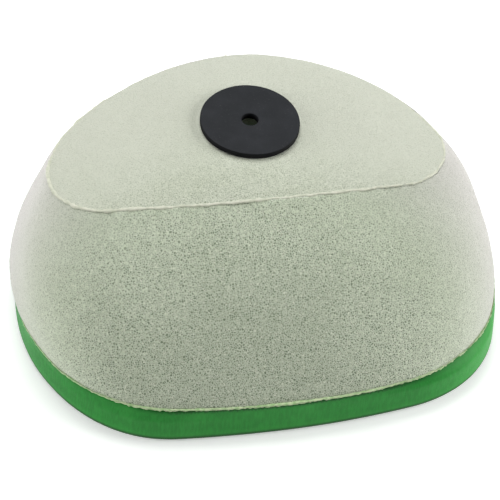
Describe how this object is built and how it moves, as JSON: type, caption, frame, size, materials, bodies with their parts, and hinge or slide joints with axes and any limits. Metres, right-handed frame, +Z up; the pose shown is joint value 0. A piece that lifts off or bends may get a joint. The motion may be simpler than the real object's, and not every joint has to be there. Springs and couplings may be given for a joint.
{
  "type": "air filter",
  "caption": "D-shaped two-stage foam air filter element with a sloping wall, a dense sealing flange and a rubber washer round its bolt hole.",
  "frame": {"origin": "middle of the sealing face under the flange, at the centre of the part's footprint", "axes": "+X along the long side, +Y towards the round rear, +Z up through the bolt hole to the washer"},
  "size_m": [0.2384, 0.1994, 0.0838],
  "materials": {
    "coarse_foam": "coarse open-cell polyurethane foam, pale greenish white, matte",
    "fine_foam": "fine open-cell polyurethane foam, green, matte",
    "flange_foam": "dense closed-cell foam, green, smooth satin skin",
    "washer_rubber": "black sheet rubber, matte",
    "seam_adhesive": "cured flexible adhesive, pale cream, satin",
    "base_adhesive": "cured flexible adhesive stained yellow-green, satin"
  },
  "bodies": {
    "root": {"outer_top_panel": "coarse_foam", "outer_side_wall": "coarse_foam", "inner_top_panel": "fine_foam", "inner_side_wall": "fine_foam", "sealing_flange": "flange_foam", "bolt_washer": "washer_rubber", "top_seam_bead": "seam_adhesive", "inner_seam_bead": "seam_adhesive", "outer_closing_seam": "seam_adhesive", "inner_closing_seam": "seam_adhesive", "base_bond": "base_adhesive", "washer_bond": "seam_adhesive"}
  },
  "joints": []
}
